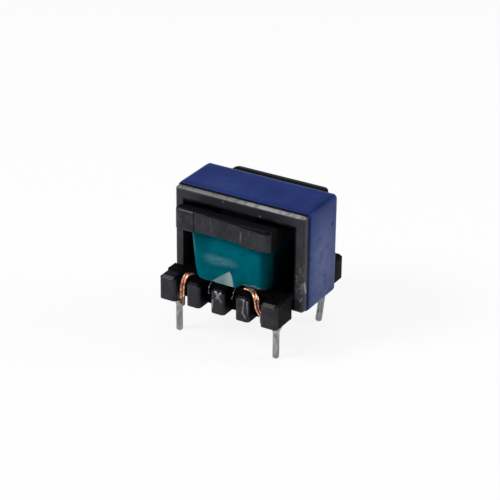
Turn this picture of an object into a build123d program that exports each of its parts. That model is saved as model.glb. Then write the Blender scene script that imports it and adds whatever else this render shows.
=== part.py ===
from build123d import *
from math import acos, atan2, cos, radians, sin, sqrt
import os

# A small vertical ferrite transformer on a moulded bobbin, standing on the tips of its four pins.
# Millimetres, +Z up. The origin is the centre of the pin grid, at the level of the pin tips;
# X runs along the two terminal rails and -Y is the front.

# Terminal grid
pin_pitch = 2.5
places_per_rail = 5
pin_diameter = 0.6
pin_inset = 1.775
pin_drop = 3.75
pin_seat = 1.5
pin_tip_chamfer = 0.12
lean_angle = 14.0
lean_room = 0.08

# Terminal rails and lower flange of the bobbin
rail_end = 1.0
rail_reach = 1.625
middle_block_depth = 1.48
slot_width = 1.1
block_round = 0.32
block_chamfer = 0.24
trough_clearance = 0.25
lower_flange = 0.4
flange_side_gap = 0.48

# Upper flange of the bobbin
upper_flange = 0.97
flange_reach = 0.95
flange_corner = 0.6
flange_rim_round = 0.22
lip_height = 0.88
lip_width = 1.15
left_boss_length = 2.0
right_boss_length = 3.0
left_boss_drop = 0.1
right_boss_drop = 0.3
boss_proud = 0.1
boss_depth = 0.8
boss_chamfer = 0.12

# Tube of the bobbin, round the centre leg
tube_wall = 0.6
tube_corner = 0.3
leg_clearance_x = 0.25
leg_clearance_y = 0.2

# Ferrite core: two equal E halves; the centre leg of the lower one is ground back
core_width = 13.1
core_height = 9.25
core_depth = 5.88
core_yoke = 1.5
core_outer_leg = 1.2
core_centre_leg = 4.0
core_round = 0.28
window_chamfer = 0.34
air_gap = 0.1
core_lift = 0.35
flange_gap = 0.08
core_bias = 0.8

# Tape round the core
core_tape_front_setback = 0.8
core_tape_back_setback = 0.28
core_tape_build = 0.15
core_tape_lap = 0.06
core_tape_lap_length = 7.0

# Coil: two windings of one layer each, with tape between them and over them
primary_wire = 0.26
secondary_wire = 0.27
inner_tape_build = 0.06
outer_tape_build = 0.12
side_belly = 0.7
corner_growth = 0.6
turn_groove = 0.07
coil_headroom = 0.08
slack_corner = 0.38
slack_depth = 0.32
tape_edge_left = 0.06
tape_edge_right = 0.32
tape_end_length = 2.4
tape_end_build = 0.05

# Lead wires and their solder
lead_wire = 0.25
lead_gap = 0.01
lead_bend = 0.34
lead_overhang = 0.5
lead_tail = 0.25
lead_sides = 12
left_lead_shift = 0.18
right_lead_setback = 0.45
lead_crest_out = 0.45
lead_crest_rise = 0.08
lead_crest_short = 0.3
strand_spread = 0.32
side_lead_offset = 2.2
side_lead_length = 1.8
face_lead_offset = 1.9
face_lead_length = 0.55
solder_height = 0.7
solder_radius = 0.52

# Levels
rail_bottom = pin_drop
core_bottom = rail_bottom + core_lift
core_top = core_bottom + core_height
lower_flange_bottom = core_bottom + core_yoke + flange_gap
coil_floor = lower_flange_bottom + lower_flange
upper_flange_top = core_top - core_yoke - flange_gap
coil_ceiling = upper_flange_top - upper_flange
coil_top = coil_ceiling - coil_headroom
mating_level = core_bottom + core_height / 2

# Places in plan
rail_length = pin_pitch * (places_per_rail - 1) + 2 * rail_end
flange_width = core_width - 2 * core_outer_leg - 2 * flange_side_gap
core_tape_width = core_depth - core_tape_front_setback - core_tape_back_setback
coil_build = primary_wire + inner_tape_build + secondary_wire + outer_tape_build
coil_face = core_depth / 2 + leg_clearance_y + tube_wall + coil_build
rail_front = coil_face + rail_reach
core_x = core_bias * leg_clearance_x
core_y = core_bias * leg_clearance_y
pin_x = pin_pitch * (places_per_rail - 1) / 2
pin_y = rail_front - pin_inset
trough_half = core_depth / 2 + leg_clearance_y + trough_clearance
slot_back = rail_front - middle_block_depth
tube_inner_x = core_centre_leg / 2 + leg_clearance_x
tube_inner_y = core_depth / 2 + leg_clearance_y
slot_x = pin_pitch * (places_per_rail - 2) / 2
upper_flange_depth = 2 * (coil_face + flange_reach)
lead_level = coil_floor + lead_wire / 2 + lead_gap
tail_level = rail_bottom - lead_wire / 2 - lead_gap
strand_pitch = lead_wire + lead_gap
knee_level = tail_level - lead_wire / 2 - lead_gap
lean_radius = solder_radius + lean_room


def block_box(x_low, x_high, y_low, y_high, z_low, z_high):
    """A box between two limits on each axis."""
    centre = ((x_low + x_high) / 2, (y_low + y_high) / 2, (z_low + z_high) / 2)
    return Pos(*centre) * Box(x_high - x_low, y_high - y_low, z_high - z_low)


def coil_reach(layers):
    """Half width, half depth and corner radius of the coil outside the named number of layers."""
    builds = [(primary_wire, side_belly), (inner_tape_build, 0), (secondary_wire, side_belly),
              (outer_tape_build, 0)][:layers]
    half_x = tube_inner_x + tube_wall + sum(build * (1 + belly) for build, belly in builds)
    half_y = tube_inner_y + tube_wall + sum(build for build, belly in builds)
    return half_x, half_y, tube_corner + corner_growth * sum(build for build, belly in builds)


def coil_section(layers, level, inset=0.0):
    """Flat section of the coil at one level; its front left corner is slack towards the floor."""
    half_x, half_y, corner = coil_reach(layers)
    half_x, half_y, corner = half_x - inset, half_y - inset, corner - inset / 2
    slack = 1 - (level - coil_floor) / (coil_top - coil_floor) if layers > 2 else 0
    left = -half_x + slack * slack_depth
    face = make_face(Polyline((left, -half_y), (half_x, -half_y), (half_x, half_y), (left, half_y), close=True))
    for x, y in ((left, half_y), (half_x, half_y), (half_x, -half_y)):
        face = fillet(face.vertices().sort_by_distance((x, y, 0))[0], corner)
    face = fillet(face.vertices().sort_by_distance((left, -half_y, 0))[0], corner + slack * slack_corner)
    return Pos(0, 0, level) * face


def coil_stack(layers, levels, insets):
    """Solid through coil sections at a rising list of levels, straight between each pair."""
    sections = [coil_section(layers, level, inset) for level, inset in zip(levels, insets)]
    return loft(sections, ruled=True)


def plain_sleeve(inner_layers):
    """One layer of the coil as a closed sleeve with plain sides."""
    levels = [coil_floor, coil_top]
    return coil_stack(inner_layers + 1, levels, [0, 0]) - coil_stack(inner_layers, levels, [0, 0])


def winding(inner_layers, wire):
    """One layer of round wire: a sleeve whose outside is grooved between the turns."""
    turns = int((coil_top - coil_floor) / wire)
    pitch = (coil_top - coil_floor) / turns
    levels = [coil_floor + pitch * step / 2 for step in range(2 * turns + 1)]
    insets = [turn_groove if step % 2 == 0 else 0.0 for step in range(2 * turns + 1)]
    outside = coil_stack(inner_layers + 1, levels, insets)
    inside = coil_stack(inner_layers, [coil_floor, coil_top], [0, 0])
    return outside - inside


def outer_winding_tape():
    """Outer tape: its lower edge clears the leads and climbs from left to right across the front."""
    half_x, half_y, corner = coil_reach(4)
    low, high = coil_floor + tape_edge_left, coil_floor + tape_edge_right
    deep = coil_floor - tape_edge_right
    climb = Polyline((-2 * half_x, low), (-half_x, low), (face_lead_offset - lead_wire, high), (2 * half_x, high),
                     (2 * half_x, deep), (-2 * half_x, deep), close=True)
    face_trim = extrude(Plane.XZ * make_face(climb), amount=2 * half_y)
    face_trim &= block_box(-2 * half_x, 2 * half_x, -2 * half_y, -half_y + corner / 4, deep, high)
    run = side_lead_offset
    edge = Polyline((-2 * half_y, high), (-run, high), (-run / 2, low), (half_y - 1.5 * corner, low),
                    (half_y - corner / 2, high), (2 * half_y, high), (2 * half_y, deep), (-2 * half_y, deep),
                    close=True)
    side_trim = extrude(Plane.YZ * make_face(edge), amount=-2 * half_x)
    side_trim &= block_box(-2 * half_x, 0, -half_y + corner / 4, half_y - corner / 4, deep, high)
    sleeve = plain_sleeve(3)
    for angle in (0, 180):
        sleeve -= face_trim.rotate(Axis.Z, angle)
        sleeve -= side_trim.rotate(Axis.Z, angle)
    return sleeve + outer_tape_end(half_x, half_y, corner, high)


def outer_tape_end(half_x, half_y, corner, high):
    """The cut end of the outer tape, lapped over the turn below at the right of the front."""
    x_high = half_x - corner
    return block_box(x_high - tape_end_length, x_high, -half_y - tape_end_build, -half_y,
                     high + tape_end_build, coil_top - tape_end_build)


def rail_outline(x_low, x_high, y_low, y_high, z_low, z_high):
    """One block of the front rail: its two front corners rounded, its front top edge chamfered."""
    block = block_box(x_low, x_high, y_low, y_high, z_low, z_high)
    uprights = block.edges().filter_by(Axis.Z).group_by(Axis.Y)[0]
    block = fillet(uprights, block_round)
    top_front = [e for e in block.edges() if e.bounding_box().min.Z > z_high - 1e-4
                 and e.center().Y < y_low + 1.2 * block_round]
    return chamfer(top_front, block_chamfer)


def front_rail():
    """Front terminal rail: deep blocks at the ends, shallow ones between them on a web."""
    half = rail_length / 2
    block = pin_pitch - slot_width
    rail = block_box(-half, half, -slot_back, -trough_half, rail_bottom, coil_floor)
    for place in range(places_per_rail):
        x = (place - (places_per_rail - 1) / 2) * pin_pitch
        x_low = -half if place == 0 else x - block / 2
        x_high = half if place == places_per_rail - 1 else x + block / 2
        rail += rail_outline(x_low, x_high, -rail_front, -slot_back, rail_bottom, coil_floor)
    for place in range(places_per_rail - 1):
        x = (place - (places_per_rail - 2) / 2) * pin_pitch
        rail -= block_box(x - slot_width / 2, x + slot_width / 2, -rail_front, -slot_back, rail_bottom, coil_floor)
    return rail


def lower_bobbin():
    """Both rails, joined by the lower flange over the trough that the core lies in."""
    rail = front_rail()
    flange = block_box(-flange_width / 2, flange_width / 2, -slot_back, slot_back, lower_flange_bottom, coil_floor)
    body = rail + rail.rotate(Axis.Z, 180) + flange
    for sx in (-1, 1):
        for sy in (-1, 1):
            seat = Pos(sx * pin_x, sy * pin_y, rail_bottom) * Cylinder(
                pin_diameter / 2, pin_seat, align=(Align.CENTER, Align.CENTER, Align.MIN))
            body -= seat
    return body


def upper_flange_body():
    """Upper flange: a plate under the yoke, a raised lip front and back, and bosses on its edges."""
    depth = upper_flange_depth / 2
    plan = RectangleRounded(flange_width, upper_flange_depth, flange_corner)
    plate = Pos(0, 0, coil_ceiling) * extrude(plan, amount=upper_flange)
    raised = Pos(0, 0, coil_ceiling) * extrude(plan, amount=upper_flange + lip_height)
    channel = block_box(-flange_width, flange_width, -depth + lip_width, depth - lip_width,
                        upper_flange_top, upper_flange_top + 2 * lip_height)
    body = raised - channel + plate
    rims = body.edges().group_by(Axis.Z)[-1]
    body = fillet(rims, flange_rim_round)
    for angle in (0, 180):
        body -= boss_recess(depth).rotate(Axis.Z, angle)
        body += boss_drops(depth).rotate(Axis.Z, angle)
    low = coil_ceiling - right_boss_drop
    rims = [e for e in body.edges() if e.bounding_box().max.Z < low + 1e-4
            and abs(e.center().Y) > depth - boss_depth / 2]
    return chamfer(rims, boss_chamfer)


def boss_recess(depth):
    """The middle of the flange's front face stands back between the two bosses."""
    x_low = -flange_width / 2 + left_boss_length
    x_high = flange_width / 2 - right_boss_length
    return block_box(x_low, x_high, -depth - boss_proud, -depth + boss_proud,
                     coil_ceiling - upper_flange, upper_flange_top + 2 * lip_height)


def boss_drops(depth):
    """The bosses hang a little below the plate, in front of the coil."""
    half = flange_width / 2
    plan = RectangleRounded(flange_width, upper_flange_depth, flange_corner)
    drop = Pos(0, 0, coil_ceiling - right_boss_drop) * extrude(plan, amount=right_boss_drop)
    y_high = -depth + boss_depth
    left = block_box(-half, -half + left_boss_length, -depth, y_high, coil_ceiling - left_boss_drop, coil_ceiling)
    right = block_box(half - right_boss_length, half, -depth, y_high, coil_ceiling - right_boss_drop, coil_ceiling)
    return drop & (left + right)


def bobbin():
    """Coil former, moulded in one piece: rails, flanges and the tube between them."""
    outer_x, outer_y, corner = coil_reach(0)
    height = coil_ceiling - coil_floor
    tube = Pos(0, 0, coil_floor) * extrude(RectangleRounded(2 * outer_x, 2 * outer_y, corner), amount=height)
    bore = block_box(-tube_inner_x, tube_inner_x, -tube_inner_y, tube_inner_y,
                     lower_flange_bottom - lower_flange, upper_flange_top + upper_flange)
    return lower_bobbin() + tube + upper_flange_body() - bore


def core_half(ground_back):
    """One E half, legs up, its back face at Z = 0, centred in plan."""
    height = core_height / 2
    window = (core_width - core_centre_leg) / 2 - core_outer_leg
    window_x = core_centre_leg / 2 + window / 2
    profile = Pos(0, height / 2) * Rectangle(core_width, height)
    for side in (-1, 1):
        profile -= Pos(side * window_x, core_yoke + height / 2) * Rectangle(window, height)
    profile -= Pos(0, height) * Rectangle(core_centre_leg, 2 * ground_back) if ground_back else []
    half = extrude(Plane.XZ * profile, amount=core_depth / 2, both=True)
    faces_y = [e for e in half.edges() if abs(abs(e.center().Y) - core_depth / 2) < 1e-6]
    inner = [e for e in faces_y if e.center().Z < height - ground_back - 1e-6
             and abs(e.center().X) < core_width / 2 - core_outer_leg / 2 and e.center().Z > core_yoke - 1e-6]
    half = chamfer(inner, window_chamfer)
    outer = [e for e in half.edges()
             if e.center().Z < 1e-6 or abs(abs(e.center().X) - core_width / 2) < 1e-6 and e.center().Z < height - 1e-6]
    return fillet(outer, core_round)


def lower_core_half():
    """Lower E half, with the centre leg ground back for the air gap."""
    return Pos(core_x, core_y, core_bottom) * core_half(air_gap)


def upper_core_half():
    """Upper E half, turned over to meet the lower one at the outer legs."""
    return Pos(core_x, core_y, core_top) * core_half(0).rotate(Axis.X, 180)


def core_wrap(build):
    """Solid prism round the whole core with the given build outside it, as wide as the tape."""
    outline = RectangleRounded(core_width + 2 * build, core_height + 2 * build, core_round + build)
    start = core_y - core_depth / 2 + core_tape_front_setback
    prism = extrude(Plane.XZ * outline, amount=-core_tape_width)
    return Pos(core_x, start, mating_level) * prism


def core_tape():
    """Tape round the core, set back from the front, with its lapped end on the left and below."""
    core = core_wrap(0)
    lap_top = core_bottom + core_tape_lap_length
    left = core_x - core_width / 2
    lap_region = block_box(left - core_tape_lap_length, left + core_width / 3, -core_depth, core_depth,
                           core_bottom - core_tape_lap_length, lap_top)
    lap = (core_wrap(core_tape_build + core_tape_lap) - core) & lap_region
    return core_wrap(core_tape_build) - core + lap


def straight_pin(sx, sy):
    """A round pin pressed into its corner block."""
    pin = Cylinder(pin_diameter / 2, pin_drop + pin_seat, align=(Align.CENTER, Align.CENTER, Align.MIN))
    pin = chamfer(pin.edges().sort_by(Axis.Z)[0], pin_tip_chamfer)
    return Pos(sx * pin_x, sy * pin_y, 0) * pin


def lean_turn():
    """Point on the leaning pin's axis where its bend ends and its straight free end starts."""
    lean = radians(lean_angle)
    return pin_x, pin_y - lean_radius * (1 - cos(lean)), knee_level - lean_radius * sin(lean)


def leaning_pin():
    """The back right pin, bent towards the front just below its lead."""
    lean = radians(lean_angle)
    start = (pin_x, pin_y, rail_bottom + pin_seat)
    knee = (pin_x, pin_y, knee_level)
    turned = lean_turn()
    reach = knee_level - lean_radius * lean
    tip = (pin_x, turned[1] - reach * sin(lean), turned[2] - reach * cos(lean))
    path = Wire([Line(start, knee), TangentArc(knee, turned, tangent=(0, 0, -1)), Line(turned, tip)])
    pin = sweep(Plane(start, z_dir=(0, 0, -1)) * Circle(pin_diameter / 2), path=path)
    end = pin.faces().sort_by_distance(tip)[0]
    return chamfer(end.edges(), pin_tip_chamfer)


def solder_collar():
    """Solder round a pin below the tail of its lead: a cone with a hollow flank, its top at Z = 0."""
    root = pin_diameter / 2
    flank = Line((root, 0), (solder_radius, 0)) + Line((solder_radius, 0), (solder_radius, -0.2 * solder_height))
    flank += Line((solder_radius, -0.2 * solder_height), (root + 0.09, -0.55 * solder_height))
    flank += Line((root + 0.09, -0.55 * solder_height), (root, -solder_height))
    flank += Line((root, -solder_height), (root, 0))
    return revolve(Plane.XZ * make_face(flank), Axis.Z)


def solder_joint(sx, sy, strands):
    """Solder below the tails of one pin's strands; on the leaning pin it leans too."""
    level = tail_level - lead_wire / 2 - (strands - 1) * strand_pitch - lead_gap
    collar = solder_collar()
    if sx < 0 or sy < 0:
        return Pos(sx * pin_x, sy * pin_y, level) * collar
    return Pos(*lean_turn()) * collar.rotate(Axis.X, -lean_angle)


def side_run(side, row, shift):
    """Strand that comes along one side of the coil and crests over the rail."""
    x = side + lead_wire / 2 + lead_gap + row * strand_pitch
    crest_x = slot_x + shift + (row - 0.5) * strand_pitch
    crest_y = slot_back + lead_crest_out
    return [(x, side_lead_offset, lead_level), (x, side_lead_offset + side_lead_length, lead_level),
            (crest_x, crest_y, lead_level + lead_crest_rise)]


def face_run(row):
    """Strand that comes along the face of the coil and turns outward over the rail."""
    y = coil_reach(3)[1] + lead_wire / 2 + lead_gap + row * strand_pitch
    turn_x = face_lead_offset + face_lead_length - row * strand_spread / 2
    crest_x = slot_x - lead_crest_short - row * strand_spread / 2
    crest_y = slot_back + lead_crest_out + row * strand_spread
    return [(face_lead_offset, y, lead_level), (turn_x, y, lead_level + lead_crest_rise / 2),
            (crest_x, crest_y, lead_level + lead_crest_rise)]


def strand(sx, sy, run, drop_x, setback, row):
    """One strand: along the coil, over the rail, down its slot and past the pin, with a short tail.

    The run is given towards the pin and outwards, so that a sign on each axis turns it to any corner.
    """
    level = tail_level - row * strand_pitch
    drop_y = rail_front - lead_overhang
    low_y = drop_y - setback
    points = run + [(drop_x, drop_y, coil_floor - lead_overhang), (drop_x, low_y, level)]
    ring = pin_diameter / 2 + lead_wire / 2 + lead_gap
    across, out = drop_x - pin_x, low_y - pin_y
    start = atan2(out, across) - acos(ring / sqrt(across ** 2 + out ** 2))
    touch_x, touch_y = pin_x + ring * cos(start), pin_y + ring * sin(start)
    share = 1 + lead_tail / sqrt((touch_x - drop_x) ** 2 + (touch_y - low_y) ** 2)
    points.append((drop_x + share * (touch_x - drop_x), low_y + share * (touch_y - low_y), level))
    corners = [(sx * x, sy * y, z) for x, y, z in points]
    heading = Vector(*corners[1]) - Vector(*corners[0])
    path = FilletPolyline(*corners, radius=lead_bend)
    section = Plane(corners[0], z_dir=heading) * RegularPolygon(lead_wire / 2, lead_sides)
    return sweep(section, path=path)


def write(name, shape):
    """Write one piece to its own file."""
    export_step(shape, os.path.join("parts", name + ".step"))


def main():
    """Build every piece and write it to its own file."""
    os.makedirs("parts", exist_ok=True)
    write("bobbin", bobbin())
    write("lower_core_half", lower_core_half())
    write("upper_core_half", upper_core_half())
    write("core_tape", core_tape())
    write("primary_winding", plain_sleeve(0))
    write("inner_winding_tape", plain_sleeve(1))
    write("secondary_winding", winding(2, secondary_wire))
    write("outer_winding_tape", outer_winding_tape())
    write("front_left_pin", straight_pin(-1, -1))
    write("front_right_pin", straight_pin(1, -1))
    write("back_left_pin", straight_pin(-1, 1))
    write("back_right_pin", leaning_pin())
    left_side, right_side = coil_reach(3)[0] - slack_depth, coil_reach(3)[0]
    half = strand_pitch / 2
    left_x = slot_x + left_lead_shift
    write("front_left_lead_upper", strand(-1, -1, side_run(left_side, 1, left_lead_shift), left_x + half, 0, 0))
    write("front_left_lead_lower", strand(-1, -1, side_run(left_side, 0, left_lead_shift), left_x - half, 0, 1))
    apart = strand_spread / 2
    write("front_right_lead_upper", strand(1, -1, face_run(0), slot_x + apart, right_lead_setback, 0))
    write("front_right_lead_lower", strand(1, -1, face_run(1), slot_x - apart, right_lead_setback, 1))
    write("back_left_lead", strand(-1, 1, face_run(0), slot_x, right_lead_setback, 0))
    write("back_right_lead", strand(1, 1, side_run(right_side, 0, left_lead_shift), slot_x, 0, 0))
    write("front_left_solder", solder_joint(-1, -1, 2))
    write("front_right_solder", solder_joint(1, -1, 2))
    write("back_left_solder", solder_joint(-1, 1, 1))
    write("back_right_solder", solder_joint(1, 1, 1))


main()
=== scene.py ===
"""Looks, light and camera of a small ferrite transformer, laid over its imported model.

Sizes are in millimetres in the model's own frame and turned into metres where a mesh is made. Only the lamps
and the floor are given in metres.
"""
from __future__ import annotations

import logging
import math
from dataclasses import dataclass, field
from enum import Enum
from functools import reduce
from typing import Mapping, Sequence, Union

import bpy
from mathutils import Matrix, Vector, noise


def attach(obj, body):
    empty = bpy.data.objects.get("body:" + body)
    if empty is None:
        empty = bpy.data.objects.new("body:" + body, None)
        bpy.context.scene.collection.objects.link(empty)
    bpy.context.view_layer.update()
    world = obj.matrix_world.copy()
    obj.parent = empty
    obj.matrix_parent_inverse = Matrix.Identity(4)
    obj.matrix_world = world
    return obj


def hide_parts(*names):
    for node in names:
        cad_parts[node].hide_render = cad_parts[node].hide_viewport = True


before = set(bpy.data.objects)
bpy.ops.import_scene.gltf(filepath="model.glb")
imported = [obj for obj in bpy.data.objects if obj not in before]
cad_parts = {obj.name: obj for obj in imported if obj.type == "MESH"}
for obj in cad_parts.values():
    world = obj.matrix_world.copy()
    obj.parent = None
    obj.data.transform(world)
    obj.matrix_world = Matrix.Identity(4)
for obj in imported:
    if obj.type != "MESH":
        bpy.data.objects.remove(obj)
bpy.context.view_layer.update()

MM = 0.001
BODY = "root"
LOG = logging.getLogger("transformer")
Colour = tuple[float, float, float]
Point = tuple[float, float, float]
Operand = Union["Value", float, int]
WHITE: Colour = (1.0, 1.0, 1.0)
MARK_CORE = 0.35  # share of a mark's width that shows in full


class Slot(Enum):
    """The record's material slots for new pieces; nothing in this script gives a piece one of them."""

    BOBBIN = "bobbin"
    CORE_TAPE = "core_tape"
    COIL_TAPE = "coil_tape"
    WIRE = "enamelled_wire"


class Output(Enum):
    """Output nodes, by the kind of tree that they close."""

    MATERIAL = "ShaderNodeOutputMaterial"
    WORLD = "ShaderNodeOutputWorld"


@dataclass(frozen=True)
class Mark:
    """A line drawn by wear, in millimetres, and how strongly it shows."""

    start: Point
    end: Point
    width: float
    share: float


def face_marks(y: float, rows: Sequence[tuple[float, ...]]) -> tuple[Mark, ...]:
    """Marks on one face towards the front.

    Args:
        y: Where the face lies, in millimetres.
        rows: X and Z of each mark's start, X and Z of its end, its width and its share.

    Returns:
        The marks.
    """
    return tuple(Mark((x0, y, z0), (x1, y, z1), width, share) for x0, z0, x1, z1, width, share in rows)


class Value:
    """A node's output socket, on which Python's operators add Math nodes."""

    def __init__(self, shader: "Shader", socket: bpy.types.NodeSocket) -> None:
        """Wrap one socket.

        Args:
            shader: The node tree that the socket belongs to.
            socket: The output socket.
        """
        self.shader = shader
        self.socket = socket

    def _math(self, operation: str, first: Operand, second: Operand) -> "Value":
        """Add one Math node.

        Args:
            operation: Blender's name of the operation.
            first: The first operand.
            second: The second operand.

        Returns:
            The node's result.
        """
        node = self.shader.add("ShaderNodeMath", {"operation": operation}, {0: first, 1: second})
        return Value(self.shader, node.outputs[0])

    def __add__(self, other: Operand) -> "Value":
        """Sum of two values."""
        return self._math("ADD", self, other)

    __radd__ = __add__

    def __sub__(self, other: Operand) -> "Value":
        """This value less another."""
        return self._math("SUBTRACT", self, other)

    def __rsub__(self, other: Operand) -> "Value":
        """Another value less this one."""
        return self._math("SUBTRACT", other, self)

    def __mul__(self, other: Operand) -> "Value":
        """Product of two values."""
        return self._math("MULTIPLY", self, other)

    __rmul__ = __mul__

    def __truediv__(self, other: Operand) -> "Value":
        """This value divided by another."""
        return self._math("DIVIDE", self, other)

    def at_most(self, other: Operand) -> "Value":
        """The smaller of two values."""
        return self._math("MINIMUM", self, other)

    def at_least(self, other: Operand) -> "Value":
        """The larger of two values."""
        return self._math("MAXIMUM", self, other)

    def size(self) -> "Value":
        """The value without its sign."""
        return self._math("ABSOLUTE", self, 0.0)


class Shader:
    """One node tree under construction, with its coordinates in millimetres."""

    def __init__(self, name: str, output: Output = Output.MATERIAL) -> None:
        """Start an empty material or world.

        Args:
            name: Its name.
            output: The kind of output node that will close it.
        """
        store = bpy.data.worlds if output is Output.WORLD else bpy.data.materials
        self.owner = store.new(name)
        self.owner.use_nodes = True
        self.tree = self.owner.node_tree
        self.tree.nodes.clear()
        self.output = output
        self._place: Value | None = None

    def add(self, kind: str, settings: Mapping[str, object] | None = None,
            inputs: Mapping[Union[str, int], object] | None = None) -> bpy.types.Node:
        """Add one node.

        Args:
            kind: Blender's type name of the node.
            settings: The node's own settings, set before its sockets.
            inputs: What each input socket, by name or number, is linked to or set to.

        Returns:
            The new node.
        """
        node = self.tree.nodes.new(kind)
        for key, setting in (settings or {}).items():
            setattr(node, key, setting)
        for key, value in (inputs or {}).items():
            if isinstance(value, Value):
                self.tree.links.new(value.socket, node.inputs[key])
            elif isinstance(value, tuple) and len(value) == 3 and node.inputs[key].type == "RGBA":
                node.inputs[key].default_value = (*value, 1.0)
            else:
                node.inputs[key].default_value = value
        return node

    def place(self) -> Value:
        """Position on the object, in millimetres, as a vector."""
        if self._place is None:
            coords = self.add("ShaderNodeTexCoord")
            scaled = self.add("ShaderNodeVectorMath", {"operation": "MULTIPLY"},
                              {0: Value(self, coords.outputs["Object"]), 1: (1 / MM,) * 3})
            self._place = Value(self, scaled.outputs[0])
        return self._place

    def axes(self) -> tuple[Value, Value, Value]:
        """Position on the object as three values."""
        split = self.add("ShaderNodeSeparateXYZ", None, {0: self.place()})
        return tuple(Value(self, split.outputs[k]) for k in range(3))

    def stretched(self, by: Point, offset: Point = (0.0, 0.0, 0.0)) -> Value:
        """Position multiplied and moved along each axis.

        Args:
            by: The factor on each axis.
            offset: What is added afterwards, in millimetres.

        Returns:
            The changed position.
        """
        node = self.add("ShaderNodeVectorMath", {"operation": "MULTIPLY_ADD"}, {0: self.place(), 1: by, 2: offset})
        return Value(self, node.outputs[0])

    def clouds(self, scale: float, detail: float = 4.0, rough: float = 0.55, where: Value | None = None) -> Value:
        """Noise between 0 and 1.

        Args:
            scale: Features per millimetre.
            detail: Octaves.
            rough: How much the finer octaves weigh.
            where: The position to read, or None for the plain one.

        Returns:
            The noise.
        """
        node = self.add("ShaderNodeTexNoise", None, {"Vector": where or self.place(), "Scale": scale,
                                                     "Detail": detail, "Roughness": rough})
        return Value(self, node.outputs["Fac"])

    def ramp(self, value: Value, low: float, high: float) -> Value:
        """A smooth step from 0 to 1 between two limits, either way round.

        Args:
            value: What is stepped.
            low: The value that gives 0.
            high: The value that gives 1.

        Returns:
            The stepped value.
        """
        node = self.add("ShaderNodeMapRange", {"interpolation_type": "SMOOTHSTEP"},
                        {"Value": value, "From Min": low, "From Max": high})
        return Value(self, node.outputs["Result"])

    def region(self, *steps: tuple[Value, float, float]) -> Value:
        """Where several smooth steps overlap.

        Args:
            *steps: What each step reads, the value that gives 0 and the value that gives 1.

        Returns:
            The product of the steps.
        """
        return reduce(Value.__mul__, (self.ramp(*step) for step in steps))

    def tint(self, first: Union[Colour, Value], second: Union[Colour, Value], share: Operand) -> Value:
        """Mix two colours.

        Args:
            first: The colour at a share of 0.
            second: The colour at a share of 1.
            share: The share of the second colour.

        Returns:
            The mixed colour.
        """
        node = self.add("ShaderNodeMix", {"data_type": "RGBA"}, {0: share, 6: first, 7: second})
        return Value(self, node.outputs[2])

    def spot(self, centre: Point, reach: Point, soft: float = 0.5) -> Value:
        """A soft ellipsoid round a place.

        Args:
            centre: The middle, in millimetres.
            reach: The half sizes along the axes, in millimetres.
            soft: The share of the half size over which it fades.

        Returns:
            1 inside, falling to 0 at the edge.
        """
        by = tuple(1.0 / r for r in reach)
        offset = tuple(-c / r for c, r in zip(centre, reach))
        length = self.add("ShaderNodeVectorMath", {"operation": "LENGTH"}, {0: self.stretched(by, offset)})
        return self.ramp(Value(self, length.outputs["Value"]), 1.0, 1.0 - soft)

    def stroke(self, mark: Mark) -> Value:
        """A soft line between two places.

        Args:
            mark: The line.

        Returns:
            The mark's share on the line, falling to 0 at its width.
        """
        span = tuple(b - a for a, b in zip(mark.start, mark.end))
        reach = sum(c * c for c in span)
        offset = self.stretched((1.0, 1.0, 1.0), tuple(-c for c in mark.start))
        dot = self.add("ShaderNodeVectorMath", {"operation": "DOT_PRODUCT"}, {0: offset, 1: span})
        along = (Value(self, dot.outputs["Value"]) / reach).at_most(1.0).at_least(0.0)
        nearest = self.add("ShaderNodeVectorMath", {"operation": "SCALE"}, {0: span, "Scale": along})
        apart = self.add("ShaderNodeVectorMath", {"operation": "DISTANCE"},
                         {0: offset, 1: Value(self, nearest.outputs["Vector"])})
        return self.ramp(Value(self, apart.outputs["Value"]), mark.width, MARK_CORE * mark.width) * mark.share

    def strokes(self, marks: Sequence[Mark]) -> Value:
        """All of several lines.

        Args:
            marks: The lines.

        Returns:
            The strongest share at each place.
        """
        return reduce(Value.at_least, (self.stroke(mark) for mark in marks))

    def wedge(self, corners: Sequence[tuple[float, float]], soft: float) -> Value:
        """The inside of a convex outline in X and Z, through the whole depth.

        Args:
            corners: Its corners, clockwise seen from the front, in millimetres.
            soft: The width over which it fades inwards, in millimetres.

        Returns:
            1 inside, falling to 0 at the outline.
        """
        x, _, z = self.axes()
        steps = []
        for (x0, z0), (x1, z1) in zip(corners, (*corners[1:], corners[0])):
            length = math.hypot(x1 - x0, z1 - z0)
            steps.append((((x - x0) * (z1 - z0) - (z - z0) * (x1 - x0)) / length, 0.0, soft))
        return self.region(*steps)

    def rounded(self, radius: float) -> Value:
        """Normal with the edges rounded off.

        Args:
            radius: The radius, in millimetres.

        Returns:
            The normal.
        """
        node = self.add("ShaderNodeBevel", {"samples": 4}, {"Radius": radius * MM})
        return Value(self, node.outputs[0])

    def edges(self, normal: Value, gain: float = 6.0) -> Value:
        """How near an edge is, from how far the rounded normal leans from the true one.

        Args:
            normal: The rounded normal.
            gain: How quickly the mask grows.

        Returns:
            0 on flat faces and up to 1 on edges.
        """
        true = self.add("ShaderNodeNewGeometry")
        dot = self.add("ShaderNodeVectorMath", {"operation": "DOT_PRODUCT"},
                       {0: normal, 1: Value(self, true.outputs["Normal"])})
        return ((1.0 - Value(self, dot.outputs["Value"])) * gain).at_most(1.0).at_least(0.0)

    def relief(self, height: Value, depth: float, normal: Value | None = None) -> Value:
        """Normal disturbed by a height.

        Args:
            height: The height, from 0 to 1.
            depth: What a height of 1 stands for, in millimetres.
            normal: The normal that is disturbed, or None for the surface's own.

        Returns:
            The disturbed normal.
        """
        inputs: dict[Union[str, int], object] = {"Height": height, "Distance": depth * MM, "Strength": 1.0}
        if normal is not None:
            inputs["Normal"] = normal
        node = self.add("ShaderNodeBump", None, inputs)
        return Value(self, node.outputs[0])

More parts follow.
